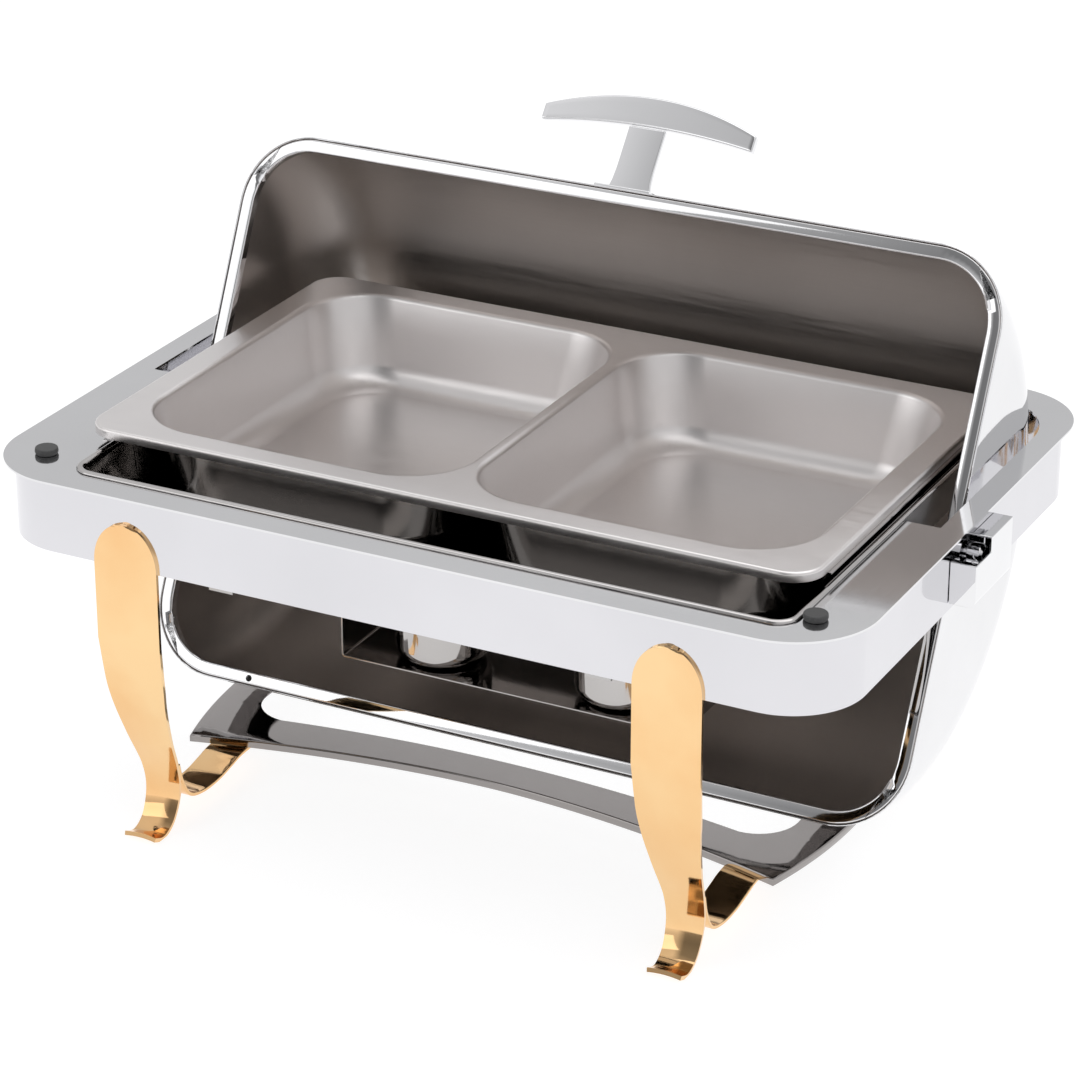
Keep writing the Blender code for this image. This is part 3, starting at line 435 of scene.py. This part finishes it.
finish_piece("divided_pan", bm, [pan_steel, pan_far_side_painted_shade], "food_pan",
             ["food_pan"], wall=0.0010, inner=1)

# ---------------------------------------------------------------- lid
# The roll-top lid is a half drum with flat, round-shouldered ends, polished outside and brushed
# inside.
# A channel of polished sheet stiffens its rim.

hinge = next(joint for joint in frame["joints"] if joint["name"] == "lid_hinge")
AXIS = Vector(hinge["pos_m"])
OPEN_ANGLE = math.radians(abs(hinge["range_deg"][0]))
LID_RADIUS = 0.1970
LID_HALF_X = 0.2890
LID_CORNER = 0.052
RIM_OFFSET = 0.0285
RIM_WIDTH = 0.0104
RIM_INSET = 0.0013
RIM_DEPTH = 0.0070
RIM_TURN = 0.0066
lid_place = Matrix.Translation(AXIS) @ Matrix.Rotation(-OPEN_ANGLE, 4, "X")


def drum(bm, inset):
    """The whole drum about the hinge axis, before the plane of its rim cuts it."""
    radius, half_x, corner = LID_RADIUS - inset, LID_HALF_X - inset, LID_CORNER - inset
    bmesh.ops.create_grid(bm, x_segments=1, y_segments=1, size=1.0)
    bmesh.ops.scale(bm, vec=(half_x, radius / 2, 1.0), verts=bm.verts)
    bmesh.ops.translate(bm, vec=(0.0, radius / 2, 0.0), verts=bm.verts)
    tops = [vert for vert in bm.verts if vert.co.y > radius / 2]
    bmesh.ops.bevel(bm, geom=tops, offset=corner, segments=16, profile=0.5, affect="VERTICES",
                    material=-1)
    bmesh.ops.delete(bm, geom=bm.faces[:], context="FACES_ONLY")
    middle = [edge for edge in bm.edges if max(abs(v.co.y) for v in edge.verts) < 1e-6]
    bmesh.ops.delete(bm, geom=middle, context="EDGES_FACES")
    bmesh.ops.spin(bm, geom=bm.verts[:] + bm.edges[:], cent=(0, 0, 0), axis=(1, 0, 0),
                   angle=2 * math.pi, steps=144, use_merge=True)
    bmesh.ops.remove_doubles(bm, verts=bm.verts, dist=1e-5)
    bmesh.ops.recalc_face_normals(bm, faces=bm.faces)


def cut_away(bm, height, facing):
    """Cuts the drum off at a height, on the side that facing points to."""
    bmesh.ops.bisect_plane(bm, geom=bm.verts[:] + bm.edges[:] + bm.faces[:],
                           plane_co=(0, 0, height), plane_no=(0, 0, facing), clear_outer=True)


bm = bmesh.new()
drum(bm, 0.0)
cut_away(bm, RIM_OFFSET, -1)
bmesh.ops.transform(bm, matrix=lid_place, verts=bm.verts)
lid_steel = steel_finish("lid_steel", (0.83, 0.83, 0.84), (0.03, 0.06), (700, 60, 60), 0.008)
lining_steel = steel_finish("lining_steel", (0.68, 0.635, 0.605), (0.28, 0.42), (14, 420, 420),
                            0.03, cloud=2.5)
finish_piece("lid_drum", bm, [lid_steel, lining_steel], "lid", ["lid_shell"],
             wall=0.0010, inner=1)

# The rim starts as a narrow slice of the drum, closed across its mouth. The mouth is drawn in by
# the rim's width and turned up into the lid, and its middle is then opened.
bm = bmesh.new()
drum(bm, RIM_INSET)
cut_away(bm, RIM_OFFSET, -1)
cut_away(bm, RIM_OFFSET + RIM_DEPTH, 1)
rim_edges = [edge for edge in bm.edges
             if all(abs(vert.co.z - RIM_OFFSET) < 1e-6 for vert in edge.verts)]
lid_mouth = bmesh.ops.contextual_create(bm, geom=rim_edges)["faces"]
bmesh.ops.inset_region(bm, faces=lid_mouth, thickness=RIM_WIDTH - RIM_INSET,
                       use_even_offset=True)
turned_in = bmesh.ops.extrude_face_region(bm, geom=lid_mouth)["geom"]
bmesh.ops.translate(bm, vec=(0, 0, RIM_TURN),
                    verts=[item for item in turned_in if isinstance(item, bmesh.types.BMVert)])
bmesh.ops.delete(bm, geom=[face for face in bm.faces if len(face.verts) > 60],
                 context="FACES_ONLY")
folds = [edge for edge in bm.edges if len(edge.link_faces) == 2
         and edge.calc_face_angle(0.0) > math.radians(60)]
bmesh.ops.bevel(bm, geom=folds, offset=0.0014, segments=4, profile=0.5, affect="EDGES",
                material=-1)
bmesh.ops.transform(bm, matrix=lid_place, verts=bm.verts)
finish_piece("lid_rim_channel", bm, [lid_steel], "lid", ["lid_rim"])

# ---------------------------------------------------------------- pivots
# The lid hangs on two side ears, each on a pin through the skirt with a spacer and a nut. A chrome
# pocket pressed onto the skirt guards each pin's head.


def eased_copy(name, node, materials, body, width, segments=3):
    """A copy of a solid with its hard edges rounded, which stands for it."""
    bm = bmesh.new()
    bm.from_mesh(nodes[node].data)
    bmesh.ops.remove_doubles(bm, verts=bm.verts, dist=1e-6)
    bmesh.ops.dissolve_limit(bm, verts=bm.verts, edges=bm.edges, angle_limit=math.radians(1.0))
    hard = [edge for edge in bm.edges
            if len(edge.link_faces) == 2 and edge.calc_face_angle(0.0) > math.radians(40)]
    bmesh.ops.bevel(bm, geom=hard, offset=width, segments=segments, profile=0.5, affect="EDGES",
                    material=-1, clamp_overlap=True)
    piece = finish_piece(name, bm, materials, body, [node])
    level = piece.modifiers.new("flat_faces", "WEIGHTED_NORMAL")
    level.keep_sharp = True
    return piece


chrome = steel_finish("chrome", (0.86, 0.86, 0.87), (0.02, 0.05), (300, 300, 300), 0.006)
for side in ("left", "right"):
    eased_copy(f"pivot_guard_{side}", f"pivot_bracket_{side}", [chrome], "frame", 0.0005)
    eased_copy(f"hinge_ear_{side}", f"lid_ear_{side}", [lid_steel], "lid", 0.0004)
    eased_copy(f"pin_{side}", f"pivot_pin_{side}", [chrome], "frame", 0.0004)
    paint(dull_steel, f"pivot_spacer_{side}", f"pivot_nut_{side}")

# ---------------------------------------------------------------- burner tray and cups
# Two bright fuel cups stand on a polished tray, folded up at both ends and screwed to straps that
# run under the water pan.

tray_low, tray_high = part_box("burner_tray")
TRAY_WALL = 0.0012
TRAY_END_X = 0.1310
FOLD = 0.0022

bm = bmesh.new()
floor_line = tray_low.z + TRAY_WALL / 2
top_line = tray_high.z - TRAY_WALL / 2
corners = ((tray_low.x, top_line), (-TRAY_END_X, top_line), (-TRAY_END_X, floor_line),
           (TRAY_END_X, floor_line), (TRAY_END_X, top_line), (tray_high.x, top_line))
line = [bm.verts.new((x, tray_low.y, z)) for x, z in corners]
for start, end in zip(line, line[1:]):
    bm.edges.new((start, end))
bmesh.ops.bevel(bm, geom=line[1:-1], offset=FOLD, segments=5, profile=0.5, affect="VERTICES",
                material=-1)
grown = bmesh.ops.extrude_edge_only(bm, edges=bm.edges[:])["geom"]
bmesh.ops.translate(bm, vec=(0, tray_high.y - tray_low.y, 0),
                    verts=[item for item in grown if isinstance(item, bmesh.types.BMVert)])
# The tray's polished steel is darkened: painted shade, for the shade under the water pan and the
# frame.
tray_steel_painted_shade = steel_finish("tray_steel_painted_shade", (0.46, 0.44, 0.43), (0.04, 0.09), (60, 500, 60), 0.010)
tray_piece = finish_piece("fuel_tray", bm, [tray_steel_painted_shade], "frame", ["burner_tray"],
                          wall=TRAY_WALL, edge=0.0003)
tray_piece.modifiers["sheet_wall"].offset = 0.0
paint(dull_steel, "tray_screw_left", "tray_screw_right")


def turned_piece(name, profile, roundings, centre, material, body, replaced, steps=64):
    """A body of revolution about an upright axis, with a rounding for each profile corner."""
    bm = bmesh.new()
    points = [bm.verts.new((radius, 0.0, height)) for radius, height in profile]
    for start, end in zip(points, points[1:]):
        bm.edges.new((start, end))
    for point, radius in zip(points, roundings):
        if radius:
            bmesh.ops.bevel(bm, geom=[point], offset=radius, segments=8, profile=0.5,
                            affect="VERTICES", material=-1)
    bmesh.ops.spin(bm, geom=bm.verts[:] + bm.edges[:], cent=(0, 0, 0), axis=(0, 0, 1),
                   angle=2 * math.pi, steps=steps, use_merge=True)
    bmesh.ops.translate(bm, vec=centre, verts=bm.verts)
    return finish_piece(name, bm, [material], body, replaced)


# The cups' chrome is darker than the chrome elsewhere: painted shade, for the shade under the
# frame.
cup_chrome_painted_shade = steel_finish("cup_chrome_painted_shade", (0.55, 0.53, 0.52), (0.05, 0.10), (200, 200, 200), 0.010)
CUP_WALL = 0.0010
CUP_ROUND, CUP_INNER_ROUND, CUP_EDGE_ROUND = 0.0115, 0.0105, 0.0004
for side in ("left", "right"):
    cup_low, cup_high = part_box(f"burner_cup_{side}")
    cup_radius = (cup_high.x - cup_low.x) / 2
    cup_height = cup_high.z - cup_low.z
    cup_inner = cup_radius - CUP_WALL
    turned_piece(f"fuel_cup_{side}",
                 ((0.0, 0.0), (cup_radius, 0.0), (cup_radius, cup_height),
                  (cup_inner, cup_height), (cup_inner, CUP_WALL), (0.0, CUP_WALL)),
                 (0, CUP_ROUND, CUP_EDGE_ROUND, CUP_EDGE_ROUND, CUP_INNER_ROUND, 0),
                 ((cup_low.x + cup_high.x) / 2, (cup_low.y + cup_high.y) / 2, cup_low.z),
                 cup_chrome_painted_shade, f"burner_cup_{side}", [f"burner_cup_{side}"])

# ---------------------------------------------------------------- bumpers
# Two soft rubber buttons on the plate's front corners take the lid's rim as it closes.

rubber = bpy.data.materials.new("dark_rubber")
rubber.use_nodes = True
rubber_tree = rubber.node_tree
rubber_shader = rubber_tree.nodes["Principled BSDF"]
rubber_shader.inputs["Roughness"].default_value = 0.55
rubber_coords = rubber_tree.nodes.new("ShaderNodeTexCoord")
rubber_grain = rubber_tree.nodes.new("ShaderNodeTexNoise")
rubber_grain.inputs["Scale"].default_value = 900.0
rubber_tone = rubber_tree.nodes.new("ShaderNodeValToRGB")
rubber_tone.color_ramp.elements[0].color = (0.045, 0.045, 0.045, 1.0)
rubber_tone.color_ramp.elements[1].color = (0.095, 0.095, 0.095, 1.0)
rubber_bump = rubber_tree.nodes.new("ShaderNodeBump")
rubber_bump.inputs["Strength"].default_value = 0.25
rubber_bump.inputs["Distance"].default_value = 0.0002
link = rubber_tree.links.new
link(rubber_coords.outputs["Object"], rubber_grain.inputs["Vector"])
link(rubber_grain.outputs["Fac"], rubber_tone.inputs["Fac"])
link(rubber_tone.outputs["Color"], rubber_shader.inputs["Base Color"])
link(rubber_grain.outputs["Fac"], rubber_bump.inputs["Height"])
link(rubber_bump.outputs["Normal"], rubber_shader.inputs["Normal"])
for side in ("left", "right"):
    pad_low, pad_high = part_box(f"bumper_{side}")
    pad_radius = (pad_high.x - pad_low.x) / 2
    pad_height = pad_high.z - pad_low.z
    turned_piece(f"rubber_button_{side}",
                 ((0.0, 0.0), (pad_radius - 0.0006, 0.0), (pad_radius, 0.0016),
                  (pad_radius - 0.0004, pad_height), (0.0, pad_height)),
                 (0, 0.0002, 0.0006, 0.0009, 0),
                 ((pad_low.x + pad_high.x) / 2, (pad_low.y + pad_high.y) / 2, pad_low.z),
                 rubber, "frame", [f"bumper_{side}"], steps=40)

# ---------------------------------------------------------------- handle
# A bowed bar on a flat post, cast and chromed, stands out from the lid on a plate with two screws.

FRONT_EDGE = math.pi - math.asin(RIM_OFFSET / LID_RADIUS)
LEAN = FRONT_EDGE - math.radians(5.0)
FOOT_ARC = math.radians(8.0)
FOOT_WIDTH, FOOT_WALL, FOOT_GAP = 0.0420, 0.0025, 0.0003
POST_WIDTH, POST_WALL, POST_LENGTH, POST_FLARE = 0.0280, 0.0040, 0.0480, 0.16
BAR_HALF, BAR_HEIGHT, BAR_WALL, BAR_GAP = 0.0806, 0.0215, 0.0060, 0.0006
BAR_RISE_OUTER, BAR_RISE_INNER = 0.0160, 0.0062


def grid_sheet(bm, across, along, place):
    """A sheet of across by along faces, where place gives a point for u and v from -1 to 1."""
    for vert in bmesh.ops.create_grid(bm, x_segments=across, y_segments=along, size=1.0)["verts"]:
        vert.co = place(vert.co.x, vert.co.y)


def on_lid(x, across, radius):
    """A point on the handle: across runs round the lid's curve, radius is from the hinge axis."""
    point = Vector((x, radius * math.cos(LEAN) + across * math.sin(LEAN),
                    radius * math.sin(LEAN) - across * math.cos(LEAN)))
    return lid_place @ point


def foot_point(u, v):
    """A point on the underside of the handle's plate, which follows the lid's curve."""
    turn = LEAN - v * FOOT_ARC / 2
    radius = LID_RADIUS + FOOT_GAP
    return lid_place @ Vector((u * FOOT_WIDTH / 2, radius * math.cos(turn),
                               radius * math.sin(turn)))


def thicken(bm, vector):
    """Pulls a sheet into a closed solid along a vector."""
    grown = bmesh.ops.extrude_face_region(bm, geom=bm.faces[:], use_keep_orig=True)["geom"]
    bmesh.ops.translate(bm, vec=vector,
                        verts=[item for item in grown if isinstance(item, bmesh.types.BMVert)])


bm = bmesh.new()
grid_sheet(bm, 4, 10, foot_point)
thicken(bm, (on_lid(0, 0, LID_RADIUS + FOOT_WALL) - on_lid(0, 0, LID_RADIUS)))
finish_piece("handle_plate", bm, [chrome], "lid", ["handle_foot"], edge=0.0007)

foot_top = LID_RADIUS + FOOT_GAP + FOOT_WALL
bar_under = (foot_top + BAR_GAP + POST_LENGTH
             + BAR_RISE_INNER * (POST_WIDTH / 2 / BAR_HALF) ** 2)


def post_point(u, v):
    """A point on one flat face of the post, which flares towards its plate."""
    flare = 1 + POST_FLARE * max(-v, 0.0) ** 3
    return on_lid(u * POST_WIDTH / 2 * flare, -POST_WALL / 2, foot_top + (v + 1) / 2 * POST_LENGTH)


bm = bmesh.new()
grid_sheet(bm, 2, 6, post_point)
thicken(bm, on_lid(0, POST_WALL, 0.2) - on_lid(0, 0, 0.2))
finish_piece("handle_stem", bm, [chrome], "lid", ["handle_post"], edge=0.0010)


def bar_point(u, v):
    """A point on the bar: its outer edge is bowed more than its inner one."""
    low = bar_under - BAR_RISE_INNER * u * u
    high = bar_under + BAR_HEIGHT - BAR_RISE_OUTER * u * u
    return on_lid(u * BAR_HALF, -BAR_WALL / 2, low + (v + 1) / 2 * (high - low))


bm = bmesh.new()
grid_sheet(bm, 40, 4, bar_point)
thicken(bm, on_lid(0, BAR_WALL, 0.2) - on_lid(0, 0, 0.2))
finish_piece("handle_bar", bm, [chrome], "lid", ["handle_crossbar"], edge=0.0013)
paint(dull_steel, "handle_screw_left", "handle_screw_right")

# ---------------------------------------------------------------- legs
# Four legs are cut from thick steel strip, curled out at the foot and gold plated. Each hangs on a
# stud through the skirt, and a gold strap from its ankle carries the shelf.


gold = steel_finish("gold_plate", (0.92, 0.64, 0.34), (0.05, 0.10), (200, 200, 40), 0.010,
                    cloud=9.0)
# The plating clouds from pale straw to a deeper orange.
gold_ramp = next(node for node in gold.node_tree.nodes if node.type == "VALTORGB").color_ramp
gold_ramp.elements[0].color = (0.87, 0.52, 0.24, 1.0)
LEG_X = 0.1965
LEG_WALL = 0.0030
LEG_HALF_WIDTH = 0.0240
LEG_TOP = 0.2360
LEG_ROUND = 0.030
LEG_TIP = 0.0030
LEG_GAP = 0.0003
LEG_CROWN = 0.0010
leg_face = -skirt_low.y + LEG_GAP
leg_mid = leg_face + LEG_WALL / 2


# Each height has the share of the full width that the leg has there.
LEG_TAPER = ((0.150, 1.0), (0.115, 0.94), (0.090, 0.82), (0.065, 0.69), (0.045, 0.60),
             (0.030, 0.565), (0.000, 0.50))


def smooth_path(points, steps):
    """Points along a smooth curve through a few chosen ones."""
    ends = [points[0]] + points + [points[-1]]
    path = []
    for a, b, c, d in zip(ends, ends[1:], ends[2:], ends[3:]):
        for i in range(steps):
            t = i / steps
            path.append(tuple(0.5 * (2 * q + (r - p) * t + (2 * p - 5 * q + 4 * r - s) * t ** 2
                                     + (3 * q - p - 3 * r + s) * t ** 3)
                              for p, q, r, s in zip(a, b, c, d)))
    return path + [points[-1]]


def leg_half_width(z):
    """A rounded top, a long taper and a narrow ankle."""
    if z > LEG_TOP - LEG_ROUND:
        rise = (z - LEG_TOP + LEG_ROUND) / LEG_ROUND
        return max(LEG_HALF_WIDTH * math.sqrt(max(1.0 - rise ** 2, 0.0)), LEG_TIP)
    for (high, wide), (low, narrow) in zip(LEG_TAPER, LEG_TAPER[1:]):
        if low <= z < high:
            return LEG_HALF_WIDTH * (narrow + (wide - narrow) * (z - low) / (high - low))
    return LEG_HALF_WIDTH


LEG_KNEE = [(leg_mid, 0.150), (leg_mid - 0.0066, 0.107), (leg_mid - 0.0180, 0.073),
            (leg_mid - 0.0298, 0.045), (leg_mid - 0.0325, 0.026), (leg_mid - 0.0255, 0.0085),
            (leg_mid - 0.0135, LEG_WALL / 2), (leg_mid - 0.0020, 0.0050)]
shoulder_z = LEG_TOP - LEG_ROUND
straight = shoulder_z - LEG_KNEE[0][1]
leg_rows = [(leg_mid, LEG_TOP - LEG_ROUND * (1 - math.cos(math.pi / 2 * i / 14)))
            for i in range(15)]
leg_rows += [(leg_mid, shoulder_z - straight * i / 5) for i in range(1, 5)]
leg_rows += smooth_path(LEG_KNEE, 8)
STRAP_WALL = 0.0025
STRAP_WIDTH = 0.0270
STRAP_LINE = [(leg_face - 0.0318, 0.0475), (leg_face - 0.0358, 0.0330),
              (leg_face - 0.0446, 0.0190), (leg_face - 0.0611, 0.0135),
              (leg_face - 0.0811, 0.0132), (leg_face - 0.0981, 0.0160),
              (leg_face - 0.1121, 0.0184), (leg_face - 0.1400, 0.0187)]
strap_rows = smooth_path(STRAP_LINE, 8)


def bent_strip(name, rows, half_width, wall, crown, sx, sy, node):
    """A strip along rows of (distance from the middle, height). Its outer face is crowned, and sx
    and sy place it on the left or right, and at the front or rear."""
    count = len(rows) - 1

    def place(u, v):
        i = round((1 - v) / 2 * count)
        here = Vector(rows[i])
        along = (Vector(rows[min(i + 1, count)]) - Vector(rows[max(i - 1, 0)])).normalized()
        outward = Vector((-along.y, along.x))
        reach = wall / 2 - crown * u * u
        return Vector((sx * (LEG_X + u * half_width(here.y)), sy * (here.x + outward.x * reach),
                       here.y + outward.y * reach))

    bm = bmesh.new()
    grid_sheet(bm, 8, count, place)
    finish_piece(name, bm, [gold], "frame", [node], wall=wall, edge=0.0007)


for end, sy in (("front", -1), ("rear", 1)):
    for side, sx in (("left", -1), ("right", 1)):
        where = f"{end}_{side}"
        bent_strip(f"gold_leg_{where}", leg_rows, leg_half_width, LEG_WALL, LEG_CROWN, sx, sy,
                   f"leg_{where}")
        bent_strip(f"gold_strap_{where}", strap_rows, lambda z: STRAP_WIDTH / 2, STRAP_WALL, 0.0,
                   sx, sy, f"leg_strap_{where}")
        paint(dull_steel, f"leg_nut_{where}", f"shelf_nut_{where}")
        paint(rubber, f"shelf_washer_{where}")

# ---------------------------------------------------------------- shelf
# A waisted shelf of polished sheet joins the legs near the floor. Its edge is turned down, and a
# long opening runs down its middle.

_, shelf_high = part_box("shelf")
SHELF_CORNER_X, SHELF_CORNER_Y = 0.2235, 0.1080
SHELF_WAIST_Y, SHELF_BOW_X = 0.0735, 0.2390
SHELF_HOLE_X, SHELF_HOLE_Y, SHELF_HOLE_END_Y = 0.2070, 0.0440, 0.0600
SHELF_HOLE_CORNER = 0.030
SHELF_LIP = 0.0055
SHELF_WALL = 0.0015


def shelf_edge(inset):
    """The shelf's outline: the long sides curve in and the ends bow out."""
    reach = SHELF_CORNER_X - inset
    span = SHELF_CORNER_Y - inset
    xs = [reach * (i / 24 - 1) for i in range(49)]
    front = [(x, -(SHELF_WAIST_Y - inset + (SHELF_CORNER_Y - SHELF_WAIST_Y)
                   * min(abs(x) / SHELF_CORNER_X, 1.0) ** 1.8)) for x in xs]
    ys = [span * (i / 12 - 1) for i in range(1, 24)]
    end = [(SHELF_BOW_X - (SHELF_BOW_X - SHELF_CORNER_X) * min(abs(y) / SHELF_CORNER_Y, 1.0) ** 2
            - inset, y) for y in ys]
    return front + end + [(-x, -y) for x, y in front] + [(-x, -y) for x, y in end]


def shelf_opening():
    """The opening's outline: its long sides curve in with the shelf, and its corners are round."""
    corner = SHELF_HOLE_CORNER
    reach = SHELF_HOLE_X - corner
    low = SHELF_HOLE_END_Y - corner
    xs = [reach * (i / 18 - 1) for i in range(37)]
    front = [(x, -(SHELF_HOLE_Y + (SHELF_HOLE_END_Y - SHELF_HOLE_Y) * (abs(x) / reach) ** 2))
             for x in xs]
    turns = [math.pi / 2 * i / 10 for i in range(1, 11)]
    bend = [(reach + corner * math.sin(t), -low - corner * math.cos(t)) for t in turns]
    back = [(reach + corner * math.cos(t), low + corner * math.sin(t)) for t in turns[:-1]]
    half = front + bend + [(SHELF_HOLE_X, low)] + back
    return half + [(-x, -y) for x, y in half]


def outline_ring(bm, points, z):
    """A closed ring of edges through the points at a height."""
    ring = [bm.verts.new((x, y, z)) for x, y in points]
    return [bm.edges.new((ring[i - 1], ring[i])) for i in range(len(ring))]


bm = bmesh.new()
edge_rings = [outline_ring(bm, shelf_edge(0.0), shelf_high.z - SHELF_LIP),
              outline_ring(bm, shelf_edge(0.0), shelf_high.z - 0.0012),
              outline_ring(bm, shelf_edge(0.0004), shelf_high.z - 0.0004),
              outline_ring(bm, shelf_edge(0.0012), shelf_high.z)]
bridge(bm, edge_rings)
fill_between(bm, edge_rings[-1], outline_ring(bm, shelf_opening(), shelf_high.z))
bmesh.ops.remove_doubles(bm, verts=bm.verts, dist=1e-5)
# The shelf's polished steel is darkened: painted shade, for the shade under the dish.
shelf_steel_painted_shade = steel_finish("shelf_steel_painted_shade", (0.34, 0.32, 0.31), (0.04, 0.08), (60, 700, 60), 0.008)
finish_piece("bottom_shelf", bm, [shelf_steel_painted_shade], "frame", ["shelf"], wall=SHELF_WALL)

# ---------------------------------------------------------------- small fittings
# A small round rubber plug sits on the foot of the lid's rim, near its left end. It closes a drain
# hole there.

PLUG_X, PLUG_INWARD, PLUG_RADIUS = -0.2050, 0.0058, 0.0027
rim_reach = math.sqrt(LID_RADIUS ** 2 - RIM_OFFSET ** 2)
rim_foot = lid_place @ Vector((PLUG_X, rim_reach - PLUG_INWARD, RIM_OFFSET))
bm = bmesh.new()
bmesh.ops.create_circle(bm, cap_ends=True, segments=32, radius=PLUG_RADIUS)
bmesh.ops.transform(bm, matrix=Matrix.Translation(rim_foot) @ lid_place.to_3x3().to_4x4(),
                    verts=bm.verts)
finish_piece("drain_plug", bm, [rubber], "lid", wall=0.0008, edge=0.0003)
